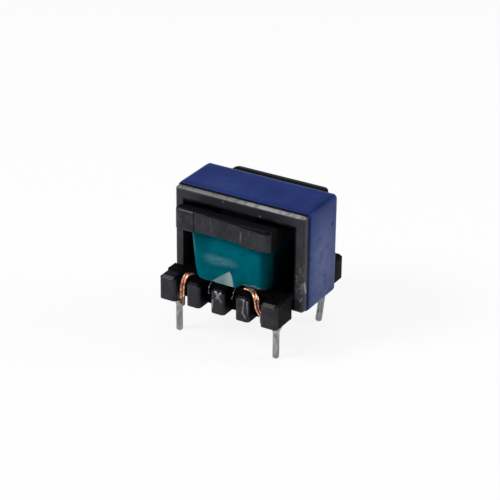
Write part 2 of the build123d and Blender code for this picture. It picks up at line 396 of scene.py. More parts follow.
    def principled(self, **sockets: object) -> bpy.types.Material:
        """Close the material with a Principled shader.

        Args:
            **sockets: Socket names, with underscores for spaces, and what they are set or linked to.

        Returns:
            The finished material.
        """
        named = {key.replace("_", " "): value for key, value in sockets.items()}
        named = {key.replace("Specular Level", "Specular IOR Level"): value for key, value in named.items()}
        return self.close(self.add("ShaderNodeBsdfPrincipled", None, named))

    def close(self, surface: bpy.types.Node) -> Union[bpy.types.Material, bpy.types.World]:
        """Link a shader node to the output.

        Args:
            surface: The node whose shader shows.

        Returns:
            The finished material or world.
        """
        self.add(self.output.value, None, {"Surface": Value(self, surface.outputs[0])})
        return self.owner

    def directly_seen(self) -> Value:
        """1 for what the eye meets, also in a reflection or through glass, and 0 for other light."""
        path = self.add("ShaderNodeLightPath")
        camera, glossy, through = (Value(self, path.outputs[name])
                                   for name in ("Is Camera Ray", "Is Glossy Ray", "Is Transmission Ray"))
        return camera.at_least(glossy).at_least(through)


@dataclass(frozen=True)
class Ferrite:
    """Sintered ferrite: charcoal grey, finely grained, paler where its edges and legs are rubbed. The pale edges are
    partly a painted highlight, the pale patch on the right leg is partly a painted reflection, the bright top front
    strip is a painted highlight, and the channel under the yoke is painted shade.
    """

    dark: Colour = (0.015, 0.015, 0.020)
    pale: Colour = (0.040, 0.040, 0.048)
    # Pale grey for rubbed places, also used for painted highlights on the edges and the top front strip.
    worn_and_highlight: Colour = (0.32, 0.32, 0.325)
    # Near black for the pits and for painted shade.
    shade_black: Colour = (0.0015, 0.0015, 0.002)
    middle: float = 0.2
    front: float = -2.79
    corner_chip: Mark = Mark((6.75, -2.55, 7.0), (6.75, -2.30, 6.1), 0.20, 0.70)
    front_chips: tuple[Mark, ...] = face_marks(front, (
        (6.68, 6.9, 6.73, 6.2, 0.22, 0.26), (6.70, 5.7, 6.45, 5.3, 0.10, 0.45),
        (-1.40, 12.98, -1.38, 12.95, 0.07, 0.9), (2.34, 12.51, 2.37, 12.46, 0.07, 0.9),
        (4.63, 12.28, 4.66, 12.26, 0.06, 0.8)))

    def build(self) -> bpy.types.Material:
        """Make the material."""
        s = Shader("ferrite")
        x, y, z = s.axes()
        grain = s.clouds(9.0, 6.0, 0.7)
        patches = s.clouds(0.9, 3.0)
        normal = s.rounded(0.16)
        edge = s.edges(normal)
        rubbed = s.ramp(s.clouds(2.2, 5.0, 0.6, s.stretched((1.0, 1.0, 0.5))), 0.35, 0.7)
        pits = s.ramp(s.clouds(5.0, 3.0), 0.68, 0.76)
        # Pale mottled patch on the right leg's front face: partly rubbing, partly a painted reflection.
        rub_and_reflection = s.spot((6.3, self.front, 7.3), (0.9, 0.5, 2.6), 0.7) * s.ramp(s.clouds(3.2, 5.0, 0.75), 0.45, 0.62)
        # Painted highlight: a pale band along the rounded top front edge, brighter towards the right.
        painted_highlight_strip = s.region((y, -2.30, -2.46), (z, 13.12, 13.26)) * (0.5 + 0.6 * s.ramp(x, -3.0, 4.5))
        chipped = s.ramp(s.clouds(1.7, 5.0, 0.7, s.stretched((1.0, 0.6, 0.6))), 0.30, 0.55)
        face = 1.0 - s.ramp(y, self.front + 0.05, self.front + 0.02) * 0.7
        # Pale mix: rubbed edges that also stand for a painted highlight, the painted highlight strip, the pale patch on
        # the right leg, and the chips.
        pale_marks = (edge * (0.2 + 0.8 * rubbed) * 0.42 * face + rub_and_reflection * 0.24 + painted_highlight_strip * (0.35 + 0.65 * chipped)
                + s.strokes((self.corner_chip, *self.front_chips))).at_most(1.0)
        base = s.tint(self.dark, self.pale, (patches * 0.6 + grain * 0.5).at_most(1.0))
        base = s.tint(s.tint(base, self.worn_and_highlight, pale_marks), self.shade_black, pits * 0.5)
        # The line along the tape's front edge is darkened, and the channel under the yoke and the top of the window get
        # painted shade; both mix towards near black.
        seam = s.region((y, -2.42, -2.26), (z, 13.2, 13.3))
        across = (x - self.middle).size() + 0.10 * (grain - 0.5)
        hollow_shade = s.region((across, 5.86, 5.66), (z + 0.25 * (patches - 0.5), 12.52, 12.26))
        tape_line_and_shade = (seam * 0.85 + hollow_shade * 0.97).at_most(1.0)
        base = s.tint(base, self.shade_black, tape_line_and_shade)
        rough = 0.46 + 0.25 * grain - 0.08 * pale_marks
        relief = s.relief(grain * 0.6 + patches * 0.4 - pits * 0.5, 0.02, normal)
        return s.principled(Base_Color=base, Roughness=rough, Normal=relief, Specular_Level=0.05,
                            Coat_Weight=0.35 * (1.0 - tape_line_and_shade), Coat_Roughness=0.4)


@dataclass(frozen=True)
class Tape:
    """Polyester film tape: smooth, dyed, with faint creases, dust and pale frays, painted highlights along its edges
    and in broad sheens, and painted shade in given spots.
    """

    name: str
    deep: Colour
    pale: Colour
    sheen_and_dust_colour: Colour
    sheens: tuple[tuple[Point, Point, float], ...] = ()
    marks: tuple[Mark, ...] = ()
    crease_fold: tuple[tuple[float, float], ...] = ()
    shaded: bool = False
    streak: Point = (1.0, 1.0, 1.0)
    shaded_spots: tuple[tuple[Point, Point, float], ...] = ()
    roughness: float = 0.38
    gloss: float = 0.2
    crease: Point = (0.25, 1.0, 2.2)
    depth: float = 0.012
    dust: float = 0.5
    darkening: float = 0.35
    fold_and_highlight_colour: Colour = (0.36, 0.44, 0.44)
    shade_colour: Colour = (0.0002, 0.006, 0.010)

    def build(self) -> bpy.types.Material:
        """Make the material."""
        s = Shader(self.name)
        broad = s.clouds(0.35, 3.0)
        fine = s.clouds(1.1, 5.0, 0.6, s.stretched(self.crease))
        specks = s.ramp(s.clouds(7.0, 2.0), 0.72, 0.77) * s.ramp(s.clouds(0.8, 2.0), 0.46, 0.58)
        streaks = s.ramp(s.clouds(0.9, 4.0, 0.6, s.stretched(self.streak)), 0.16, 0.60)
        normal = s.rounded(0.1)
        edge = s.edges(normal, 5.0)
        base = s.tint(self.deep, self.pale, s.ramp(broad, 0.3, 0.7))
        # Painted highlight along the edges plus real dust specks; broad painted sheens and pale frays are added below.
        dust_and_sheen: Operand = edge * 0.3 + specks * self.dust
        for centre, reach, share in self.sheens:
            dust_and_sheen = dust_and_sheen + s.spot(centre, reach, 0.85) * streaks * share
        if self.marks:
            dust_and_sheen = dust_and_sheen + s.strokes(self.marks)
        base = s.tint(base, self.sheen_and_dust_colour, dust_and_sheen.at_most(1.0))
        # Painted shade: the given spots are darkened.
        for centre, reach, share in self.shaded_spots:
            base = s.tint(base, tuple(self.darkening * c for c in self.deep), s.spot(centre, reach, 0.8) * share)
        x, y, z = s.axes()
        # The pale triangle of the crease: partly the tape's pale fold, partly a painted highlight, brighter towards the
        # right.
        if self.crease_fold:
            fold_and_highlight = s.wedge(self.crease_fold, 0.08) * s.ramp(y, -4.0, -4.2) * (0.5 + 0.45 * s.ramp(x, -0.4, 0.5))
            base = s.tint(base, self.fold_and_highlight_colour, fold_and_highlight * (0.6 + 0.5 * fine).at_most(1.0))
        if self.shaded:
            # Painted shade: the coil's right side behind the core leg goes near black, and the tape darkens towards its
            # right edge and under the flange.
            hollow_shade = s.region((x, 3.1, 3.6), (y + 0.5 * (broad - 0.5), -4.1, -2.7)) * s.ramp(z, 10.9, 8.9).at_least(0.8)
            brink = s.ramp(x, 3.0, 3.6) * 0.45 + s.ramp(z, 10.2, 10.7) * 0.3
            base = s.tint(base, self.shade_colour, brink.at_most(0.8).at_least(hollow_shade * 0.97))
        relief = s.relief(fine * 0.7 + broad * 0.6, self.depth, normal)
        rough = self.roughness + 0.16 * (fine - 0.5) + 0.12 * specks
        return s.principled(Base_Color=base, Roughness=rough, Normal=relief, Specular_Level=self.gloss)


@dataclass(frozen=True)
class MouldedPlastic:
    """Dark phenolic moulding: near black, faintly orange-peeled, scuffed pale along its edges. Painted shade darkens
    the rail under the coil, the block tops, the flange lip and the flange's underside, and the pale colour of its
    varnish drips is a painted highlight.
    """

    dark: Colour = (0.0055, 0.0055, 0.009)
    pale: Colour = (0.027, 0.026, 0.034)
    scuffed: Colour = (0.19, 0.19, 0.20)
    # Near black for painted shade.
    shade_black: Colour = (0.0010, 0.0010, 0.0014)
    # Pale colour of the varnish drips, a painted highlight on real varnish.
    varnish: Colour = (0.34, 0.34, 0.35)
    flange_front: float = -5.4
    rail_front: float = -6.08
    scratches: tuple[Mark, ...] = face_marks(flange_front, (
        (-1.12, 12.15, -1.02, 11.19, 0.13, 0.8), (-1.45, 11.95, -0.75, 11.60, 0.10, 0.6),
        (-0.30, 11.90, 0.30, 11.75, 0.09, 0.5), (2.40, 11.33, 2.62, 11.25, 0.12, 0.8),
        (2.90, 10.69, 3.05, 10.72, 0.12, 0.8), (2.00, 11.89, 1.93, 10.94, 0.11, 0.7),
        (-4.60, 12.4, -4.20, 11.3, 0.12, 0.4), (-3.80, 10.85, -2.95, 10.85, 0.09, 0.5)))
    drips: tuple[Mark, ...] = face_marks(rail_front, (
        (-0.29, 6.02, 0.10, 5.60, 0.15, 1.0), (0.42, 6.02, -0.05, 5.30, 0.14, 0.9),
        (-0.45, 5.0, -0.50, 4.3, 0.13, 0.8), (0.10, 5.45, 0.45, 5.05, 0.12, 0.7),
        (2.72, 5.9, 2.60, 4.6, 0.10, 0.8), (3.05, 5.8, 3.12, 4.5, 0.12, 1.0),
        (2.60, 4.6, 2.90, 4.15, 0.10, 0.7), (2.20, 5.95, 2.75, 5.90, 0.10, 0.6)))

    def build(self) -> bpy.types.Material:
        """Make the material."""
        s = Shader("moulded_plastic")
        x, y, z = s.axes()
        peel = s.clouds(4.0, 4.0, 0.6)
        patches = s.clouds(1.0, 4.0)
        normal = s.rounded(0.16)
        edge = s.edges(normal)
        scratch = s.ramp(s.clouds(1.6, 5.0, 0.7, s.stretched((2.4, 2.4, 0.5), (3.0, 1.0, 7.0))), 0.56, 0.68)
        rub = s.ramp(s.clouds(2.0, 5.0, 0.65), 0.4, 0.7)
        flange = s.region((z, 10.2, 10.8), (y, -5.0, -5.3))
        mottle = s.ramp(s.clouds(3.4, 5.0, 0.7), 0.42, 0.66)
        pale_marks = (edge * (0.12 + 0.88 * rub) * 0.40 + scratch * (0.05 + 0.16 * flange)
                + s.strokes(self.scratches) * mottle).at_most(1.0)
        shade = (s.ramp(patches, 0.3, 0.7) * 0.6 + mottle * 0.4).at_most(1.0)
        base = s.tint(s.tint(self.dark, self.pale, shade), self.scuffed, pale_marks)
        # Painted shade: near black on the rail under the coil, on the block tops, behind the left corner block, on the
        # flange lip and its front, under the flange next to the coil and at the flange's right end.
        depth, rail = y.size(), s.ramp(z, 6.9, 6.3)
        behind_left_corner = rail * s.region((depth, 5.88, 5.74), (x, -4.3, -4.1))
        under_coil = rail * s.ramp(depth, 5.2, 4.9)
        block_tops = rail * s.ramp(z, 5.76, 5.90) * (0.6 + 0.35 * s.ramp(x.size(), 4.3, 4.1))
        lip_front = s.region((z + 0.05 * x + 0.25 * (patches - 0.5), 12.40, 12.56), (y, -5.0, -5.15)) * 0.9
        lip_top = s.region((z, 12.40, 12.55), (y, -5.22, -5.10), (y, -3.8, -4.1))
        trough = s.region((depth, 5.0, 4.8), (z, 10.2, 10.6))
        right_end = s.region((x, 4.55, 4.75), (depth, 5.2, 5.0), (z, 9.9, 10.1))
        shaded_places = (behind_left_corner, under_coil, block_tops, lip_front, lip_top, trough, right_end)
        painted_shade = reduce(Value.at_least, shaded_places)
        # Varnish drips on the rail's front: real glossy varnish whose pale colour is a painted highlight.
        varnish_and_sheen = (s.strokes(self.drips) * (0.45 + 0.75 * mottle)).at_most(1.0)
        base = s.tint(s.tint(base, self.shade_black, painted_shade * 0.97), self.varnish, varnish_and_sheen * 0.7)
        relief = s.relief(peel * 0.6 + scratch * 0.4 + varnish_and_sheen, 0.018, normal)
        rough = (0.42 + 0.2 * patches + 0.12 * rub - 0.3 * varnish_and_sheen).at_least(0.12)
        return s.principled(Base_Color=base, Roughness=rough, Normal=relief, Specular_Level=0.04,
                            Coat_Weight=(0.4 * (1.0 - painted_shade) + varnish_and_sheen).at_most(1.0), Coat_Roughness=0.3)


@dataclass(frozen=True)
class EnamelledCopper:
    """Copper wire under clear enamel, red-brown in its hollows and bright along its crown."""

    name: str
    bright: Colour = (0.90, 0.46, 0.29)
    dull: Colour = (0.12, 0.022, 0.010)
    metal: float = 0.92
    coat: float = 0.5
    shadow: Colour = (0.012, 0.004, 0.003)

    def build(self) -> bpy.types.Material:
        """Make the material."""
        s = Shader(self.name)
        _, _, z = s.axes()
        stain = s.ramp(s.clouds(3.0, 4.0, 0.6), 0.42, 0.60)
        fine = s.clouds(12.0, 3.0)
        base = s.tint(self.bright, self.dull, stain * 0.8)
        base = s.tint(base, self.shadow, s.ramp(z, 4.3, 3.9) * 0.85)
        return s.principled(Base_Color=base, Metallic=self.metal, Roughness=0.24 + 0.18 * fine,
                            Normal=s.relief(fine, 0.006), Coat_Weight=self.coat, Coat_Roughness=0.12)


@dataclass(frozen=True)
class Tin:
    """Tin coat: soft grey metal with streaks along the wire."""

    name: str
    bright: Colour = (0.36, 0.36, 0.36)
    dull: Colour = (0.07, 0.07, 0.075)
    roughness: float = 0.36
    depth: float = 0.012

    def build(self) -> bpy.types.Material:
        """Make the material."""
        s = Shader(self.name)
        streak = s.ramp(s.clouds(2.6, 5.0, 0.65, s.stretched((2.0, 2.0, 0.5))), 0.35, 0.7)
        fine = s.clouds(9.0, 4.0)
        base = s.tint(self.bright, self.dull, streak * 0.8)
        return s.principled(Base_Color=base, Metallic=0.85, Roughness=self.roughness + 0.2 * fine,
                            Normal=s.relief(fine + streak, self.depth), Specular_Level=0.5)


@dataclass(frozen=True)
class Varnish:
    """Dried impregnating varnish: a clear glossy skin that catches the light."""

    def build(self) -> bpy.types.Material:
        """Make the material."""
        s = Shader("varnish")
        fine = s.clouds(5.0, 3.0)
        base = s.tint((0.05, 0.05, 0.055), (0.30, 0.30, 0.30), s.ramp(fine, 0.5, 0.75))
        return s.principled(Base_Color=base, Roughness=0.08 + 0.15 * fine, Normal=s.relief(fine, 0.02),
                            Coat_Weight=0.6, Coat_Roughness=0.05)


@dataclass(frozen=True)
class Finishes:
    """Every finish of the object, made once."""

    ferrite: bpy.types.Material
    core_tape: bpy.types.Material
    coil_tape: bpy.types.Material
    plastic: bpy.types.Material
    copper: bpy.types.Material
    winding: bpy.types.Material
    pin: bpy.types.Material
    solder: bpy.types.Material
    varnish: bpy.types.Material

    @classmethod
    def make(cls) -> "Finishes":
        """Build all the materials."""
        # Blue tape: a painted reflection on the right side and a faint painted sheen on top; painted shade at the top
        # right corner and in a dent on the right side.
        blue = Tape("core_tape", (0.0045, 0.018, 0.120), (0.0085, 0.027, 0.150), (0.11, 0.14, 0.27),
                    sheens=(((6.9, 0.4, 7.6), (0.5, 4.0, 6.4), 0.62), ((-3.0, -1.0, 13.5), (2.6, 1.4, 0.5), 0.10)),
                    shaded_spots=(((6.5, 0.4, 13.2), (0.9, 2.4, 0.8), 0.5), ((6.9, 2.1, 10.9), (0.3, 0.4, 0.35), 0.8)),
                    roughness=0.42, gloss=0.10)
        y = -CoilTape.half_y
        hem = ((1.79, 6.41), (2.40, 6.42), (2.75, 6.55), (3.11, 6.42), (3.71, 6.58))
        frays = [(*start, *end, 0.09, 0.8) for start, end in zip(hem, hem[1:])]
        frays.append((-2.6, 6.35, -1.9, 6.45, 0.07, 0.5))
        # Green tape: painted highlights across the front and along the left edge, the crease's pale fold with its
        # painted highlight, and painted shade on the right side.
        green = Tape("coil_tape", (0.0003, 0.080, 0.112), (0.0005, 0.140, 0.185), (0.12, 0.30, 0.34),
                     sheens=(((-1.25, y, 8.06), (1.6, 0.4, 0.75), 0.38), ((0.05, y, 8.12), (1.5, 0.4, 0.6), 0.32),
                            ((-3.6, -4.3, 8.8), (0.35, 0.8, 2.2), 0.6)),
                     marks=face_marks(y, frays), streak=(0.8, 1.0, 4.0),
                     crease_fold=((-1.60, 5.95), (0.36, 7.42), (0.58, 6.95), (1.25, 5.95)), shaded=True,
                     roughness=0.36, gloss=0.0, crease=(0.5, 0.5, 2.6), depth=0.035)
        # Painted shade: a darkened copy of the copper for the windings, which show only in shade under the tape.
        shaded_copper = EnamelledCopper("painted_shade_winding", (0.035, 0.010, 0.006), (0.010, 0.004, 0.003), 0.3, 0.0)
        solder = Tin("solder", (0.48, 0.48, 0.49), (0.16, 0.16, 0.17), 0.26, 0.03)
        in_order = (Ferrite(), blue, green, MouldedPlastic(), EnamelledCopper("enamelled_copper"), shaded_copper,
                    Tin("tinned_pin"), solder, Varnish())
        return cls(*(finish.build() for finish in in_order))


def ring_mesh(name: str, rings: Sequence[Sequence[Vector]]) -> bpy.types.Object:
    """Make a skin through closed rings of points.

    Args:
        name: The object's name.
        rings: Rings of equally many points, in millimetres.

    Returns:
        The new object, shaded smooth.
    """
    across = len(rings[0])
    points = [tuple(c * MM for c in point) for ring in rings for point in ring]
    faces = []
    for row in range(len(rings) - 1):
        for k in range(across):
            a, b = row * across + k, row * across + (k + 1) % across
            faces.append((a, b, b + across, a + across))
    mesh = bpy.data.meshes.new(name)
    mesh.from_pydata(points, [], faces)
    mesh.validate()
    mesh.polygons.foreach_set("use_smooth", [True] * len(mesh.polygons))
    piece = bpy.data.objects.new(name, mesh)
    bpy.context.scene.collection.objects.link(piece)
    return piece


def settle(piece: bpy.types.Object, material: bpy.types.Material, replaces: Sequence[str] = ()) -> None:
    """Dress a piece, let it ride with the body and hide the CAD nodes that it stands for.

    Args:
        piece: The new piece.
        material: Its finish.
        replaces: The CAD nodes that it stands for.
    """
    piece.data.materials.clear()
    piece.data.materials.append(material)
    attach(piece, BODY)
    if replaces:
        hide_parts(*replaces)
    LOG.info("piece %s", piece.name)


def dress(node: str, material: bpy.types.Material) -> None:
    """Give a carried-over CAD node its finish.

    Args:
        node: The node's name.
        material: Its finish.
    """
    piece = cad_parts[node]
    piece.data.materials.clear()
    piece.data.materials.append(material)
    LOG.info("node %s in %s", node, material.name)


def wander(point: Vector, scale: float, seed: float) -> float:
    """Smooth noise between about -1 and 1.

    Args:
        point: Where, in millimetres.
        scale: Features per millimetre.
        seed: Moves the pattern.

    Returns:
        The noise.
    """
    return noise.noise(point * scale + Vector((seed, 2 * seed, -seed)))


@dataclass
class CoreTape:
    """Several turns of blue tape round the core, with a lapped end on the left."""

    finishes: Finishes
    centre_x: float = 0.2
    centre_z: float = 8.725
    half_width: float = 6.70
    half_height: float = 4.775
    corner: float = 0.43
    front: float = -1.98
    back: float = 2.82
    build_up: float = 0.15
    lap: float = 0.06
    lap_top: float = 11.1
    lap_reach: float = 0.2
    wave: float = 0.012
    ripple: float = 0.004
    edge_fall: float = 0.03
    edge_rate: float = 14
    corner_steps: int = 12
    spacing: float = 0.28
    rows: int = 26

    def outline(self) -> list[tuple[Vector, Vector]]:
        """Points round the core from the lap on the left, with their outward directions."""
        straight_x, straight_z = self.half_width - self.corner, self.half_height - self.corner
        path: list[tuple[Vector, Vector]] = []
        corners = ((-1, -1, 180), (1, -1, 270), (1, 1, 0), (-1, 1, 90))
        for sx, sz, start in corners:
            middle = Vector((self.centre_x + sx * straight_x, 0.0, self.centre_z + sz * straight_z))
            for step in range(self.corner_steps + 1):
                angle = math.radians(start + 90 * step / self.corner_steps)
                way = Vector((math.cos(angle), 0.0, math.sin(angle)))
                path.append((middle + way * self.corner, way))
        full: list[tuple[Vector, Vector]] = []
        for k, (point, way) in enumerate(path):
            after, way_after = path[(k + 1) % len(path)]
            cuts = max(1, int((after - point).length / self.spacing))
            for cut in range(cuts):
                full.append((point.lerp(after, cut / cuts), way.lerp(way_after, cut / cuts).normalized()))
        return full

    def build(self) -> None:
        """Make the wrapped skin."""
        outline = self.outline()
        rings = []
        for row in range(-1, self.rows + 2):
            share = min(max(row / self.rows, 0.0), 1.0)
            y = self.front + (self.back - self.front) * share
            rim = row in (-1, self.rows + 1)
            fall = sum(max(0.0, 1 - side * self.edge_rate) ** 2 for side in (share, 1 - share)) * self.edge_fall
            ring = []
            for point, way in outline:
                spot = Vector((point.x, y, point.z))
                low = wander(Vector((spot.x, spot.y * 0.3, spot.z)), 0.5, 3.0) * self.wave
                swell = low + wander(spot, 1.6, 9.0) * self.ripple
                lapped = point.x < self.centre_x - self.half_width + self.lap_reach and point.z < self.lap_top
                out = swell - fall - self.wave + (self.lap if lapped else 0.0)
                if rim:
                    out = -self.build_up
                shift = wander(spot, 0.7, 21.0) * self.wave if share in (0.0, 1.0) else 0.0
                ring.append(spot + way * out + Vector((0.0, shift, 0.0)))
            rings.append(ring)
        piece = ring_mesh("core_tape_wrap", rings)
        settle(piece, self.finishes.core_tape, ["core_tape"])


@dataclass
class CoilTape:
    """Green tape over the winding: slack at the front left and flared over the front rail."""

    finishes: Finishes
    half_x: float = 3.931
    half_y: float = 4.45
    corner: float = 0.726
    floor: float = 6.08
    top: float = 10.72
    slack_corner: float = 0.38
    slack_side: float = 0.32
    edge_left: float = 6.14
    edge_right: float = 6.40
    edge_reach: float = 1.65
    lead_run: float = 2.2
    flare: float = 0.40
    flare_edge: float = 6.11
    flare_share: float = 0.24
    flare_depth: float = 0.35
    flare_starts: tuple[float, float] = (-3.25, 1.1)
    flare_ends: tuple[float, float] = (1.85, 0.8)
    wire: float = 0.273
    ridge: float = 0.010
    sag: float = 0.022
    ripple: float = 0.012
    sunk: float = 0.02
    build_up: float = 0.11
    corner_steps: int = 14
    side_steps: int = 34
    rows: int = 60

    def loop(self, level: float) -> list[tuple[Vector, Vector]]:
        """Points round the coil at one level, from the front left corner, with outward directions.

        Args:
            level: The height, in millimetres.

        Returns:
            The points and directions.
        """
        slack = 1 - (level - self.floor) / (self.top - self.floor)
        left = -self.half_x + slack * self.slack_side
        plan = ((left, -self.half_y, self.corner + slack * self.slack_corner, 180),
                (self.half_x, -self.half_y, self.corner, 270),
                (self.half_x, self.half_y, self.corner, 0),
                (left, self.half_y, self.corner, 90))
        arcs: list[list[tuple[Vector, Vector]]] = []
        for x, y, radius, start in plan:
            middle = Vector((x + math.copysign(radius, -x), y + math.copysign(radius, -y), level))
            arc = []
            for step in range(self.corner_steps + 1):
                angle = math.radians(start + 90 * step / self.corner_steps)
                way = Vector((math.cos(angle), math.sin(angle), 0.0))
                arc.append((middle + way * radius, way))
            arcs.append(arc)
        full: list[tuple[Vector, Vector]] = []
        for k, arc in enumerate(arcs):
            full += arc[:-1]
            (point, way), (after, way_after) = arc[-1], arcs[(k + 1) % 4][0]
            for cut in range(self.side_steps):
                share = cut / self.side_steps
                full.append((point.lerp(after, share), way.lerp(way_after, share).normalized()))
        return full

    def flared(self, point: Vector) -> float:
        """How much of the flare over the front rail a place in plan takes.

        flare_starts and flare_ends give the X of each end and the width over which the flare fades there.

        Args:
            point: The place.

        Returns:
            0 where the tape lies flat and 1 where it stands off most.
        """
        if point.y > -self.half_y + self.flare_depth:
            return 0.0
        (start, rising), (end, falling) = self.flare_starts, self.flare_ends
        rise = min(max((point.x - start) / rising, 0.0), 1.0) * min(max((end - point.x) / falling, 0.0), 1.0)
        return rise * rise * (3 - 2 * rise)

    def lower_edge(self, point: Vector) -> float:
        """Height of the tape's lower edge at a place in plan.

        Args:
            point: The place.

        Returns:
            The height, in millimetres.
        """
        low, high = self.edge_left, self.edge_right
        if abs(point.y) > self.half_y - self.corner / 4:
            along = math.copysign(point.x, -point.x * point.y)
            share = min(max((along + self.half_x) / (self.half_x + self.edge_reach), 0.0), 1.0)
        else:
            along = math.copysign(point.y, -point.x * point.y)
            share = max(-along / self.lead_run - 0.5, 0.0) * 2.0
            share = max(share, (along - self.half_y + 1.5 * self.corner) / self.corner)
            share = min(max(share, 0.0), 1.0)
        base = low + (high - low) * share
        base += (self.flare_edge - base) * self.flared(point)
        return base + 0.015 * wander(point, 1.3, 5.0)

    def surface(self, share: float, column: int) -> Vector:
        """Point on the tape's outer face.

        Args:
            share: 0 at the lower edge and 1 at the upper one.
            column: Which of the points round the coil.

        Returns:
            The point.
        """
        start = self.loop(self.floor)[column][0]
        low = self.lower_edge(start)
        level = low + (self.top - low) * share
        point, way = self.loop(level)[column]
        turn = math.sin(math.pi * (level - self.floor) / self.wire) ** 2
        flat = Vector((point.x, point.y, point.z * 1.4))
        out = self.ridge * turn * (0.5 + 0.5 * wander(flat, 0.6, 4.0)) + self.sag * wander(flat, 0.55, 8.0) - self.sunk
        out += self.ripple * wander(flat, 1.7, 12.0)
        hang = max(0.0, 1 - share / self.flare_share)
        out += self.flare * self.flared(start) * hang ** 1.6
        return point + way * out

    def build(self) -> None:
        """Make the sleeve."""
        count = len(self.loop(self.floor))
        grid = [[self.surface(row / self.rows, k) for k in range(count)] for row in range(self.rows + 1)]
        inner_low = [p - self.loop(self.floor)[k][1] * self.build_up for k, p in enumerate(grid[0])]
        inner_high = [p - self.loop(self.top)[k][1] * self.build_up for k, p in enumerate(grid[-1])]
        piece = ring_mesh("coil_tape_sleeve", [inner_low, grid[0], *grid, grid[-1], inner_high])
        settle(piece, self.finishes.coil_tape, ["outer_winding_tape"])


def smooth_path(points: Sequence[Vector], cuts: int) -> list[Vector]:
    """Run a smooth curve through points.

    Args:
        points: The points.
        cuts: Steps between each pair.

    Returns:
        The points of the curve.
    """
    padded = [points[0] * 2 - points[1], *points, points[-1] * 2 - points[-2]]
    curve = []
    for k in range(1, len(padded) - 2):
        a, b, c, d = padded[k - 1:k + 3]
        for cut in range(cuts):
            t = cut / cuts
            curve.append(0.5 * (2 * b + (c - a) * t + (2 * a - 5 * b + 4 * c - d) * t * t
                                + (3 * b - 3 * c + d - a) * t ** 3))
    curve.append(padded[-2])
    return curve


def wire_rings(path: Sequence[Vector], radius: float, sides: int) -> list[list[Vector]]:
    """Rings of a round wire along a path, closed at both ends.

    Args:
        path: The wire's axis, in millimetres.
        radius: The wire's radius.
        sides: Points in each ring.

    Returns:
        The rings.
    """
    rings: list[list[Vector]] = []
    across = Vector((0.3, 0.2, 1.0)).cross(path[1] - path[0]).normalized()
    for k, point in enumerate(path):
        ahead = (path[min(k + 1, len(path) - 1)] - path[max(k - 1, 0)]).normalized()
        across = (across - ahead * across.dot(ahead)).normalized()
        other = ahead.cross(across)
        rings.append([point + (across * math.cos(2 * math.pi * step / sides)
                               + other * math.sin(2 * math.pi * step / sides)) * radius for step in range(sides)])
    return [[path[0]] * sides, *rings, [path[-1]] * sides]


@dataclass(frozen=True)
class LeadRoute:
    """The way of one lead's middle line: over the rail, down its slot and past its pin."""

    name: str
    over_rail: tuple[Point, ...]
    foot_steps: tuple[Point, ...]
    past_pin: tuple[tuple[float, float], ...]
    apart: Point


@dataclass
class FrontLeads:
    """The two leads at the front, of two strands each."""

    finishes: Finishes
    wire: float = 0.25
    sides: int = 12
    cuts: int = 8
    strands: tuple[tuple[str, float, float], ...] = (("lower", 0.5, 3.355), ("upper", -0.5, 3.615))
    routes: tuple[LeadRoute, ...] = (
        LeadRoute("front_left",
                  ((-3.36, -4.72, 6.225), (-3.50, -4.95, 6.29), (-3.64, -5.24, 6.20),
                   (-3.77, -5.46, 5.80), (-3.84, -5.56, 5.25), (-3.87, -5.58, 4.55)),
                  ((0.0, 0.0, 0.25), (-0.12, 0.04, 0.04), (-0.45, 0.26, 0.0)),
                  ((-5.266, -4.644), (-5.46, -4.49)), (0.26, 0.05, 0.0)),
        LeadRoute("front_right",
                  ((2.12, -4.66, 6.22), (2.60, -4.76, 6.27), (3.08, -5.00, 6.27), (3.45, -5.30, 6.08),
                   (3.66, -5.46, 5.68), (3.72, -5.42, 5.15), (3.80, -5.18, 4.60), (3.93, -4.88, 4.02)),
                  ((0.02, 0.02, 0.18), (0.14, 0.04, 0.02), (0.45, 0.08, 0.0)),
                  ((5.136, -4.713), (5.37, -4.64)), (-0.225, -0.13, 0.0)),
    )

    def build(self) -> None:
        """Make all four strands."""
        for route in self.routes:
            for name, side, level in self.strands:
                self.strand(route, name, Vector(route.apart) * side, level)

    def strand(self, route: LeadRoute, name: str, shift: Vector, level: float) -> None:
        """Make one strand.

        Args:
            route: The lead that it belongs to.
            name: Which of the lead's strands it is.
            shift: How far it lies from the lead's middle line.
            level: The height at which it passes the pin.
        """
        points = [Vector(point) + shift for point in route.over_rail]
        foot = points[-1]
        points += [Vector((foot.x + dx, foot.y + dy, level + dz)) for dx, dy, dz in route.foot_steps]
        points += [Vector((x, y, level)) for x, y in route.past_pin]
        rings = wire_rings(smooth_path(points, self.cuts), self.wire / 2, self.sides)
        settle(ring_mesh(f"{route.name}_strand_{name}", rings), self.finishes.copper,
               [f"{route.name}_lead_{name}"])


@dataclass(frozen=True)
class VarnishThread:
    """A thread of varnish that has dried between the coil and the rail."""

    name: str
    points: tuple[Point, ...]
    thin: float = 0.035
    thick: float = 0.075
    sides: int = 10

    def build(self, finishes: Finishes) -> None:
        """Make the thread.

        Args:
            finishes: The finishes to take the varnish from.
        """
        centres = [Vector(point) for point in self.points]
        ways = [Vector((math.cos(a), math.sin(a), 0.0))
                for a in (2 * math.pi * step / self.sides for step in range(self.sides))]
        rings = [[centre + way * (self.thick if k in (0, len(centres) - 1) else self.thin) for way in ways]
                 for k, centre in enumerate(centres)]
        rings = [[centres[0]] * self.sides, *rings, [centres[-1]] * self.sides]
        settle(ring_mesh(self.name, rings), finishes.varnish)


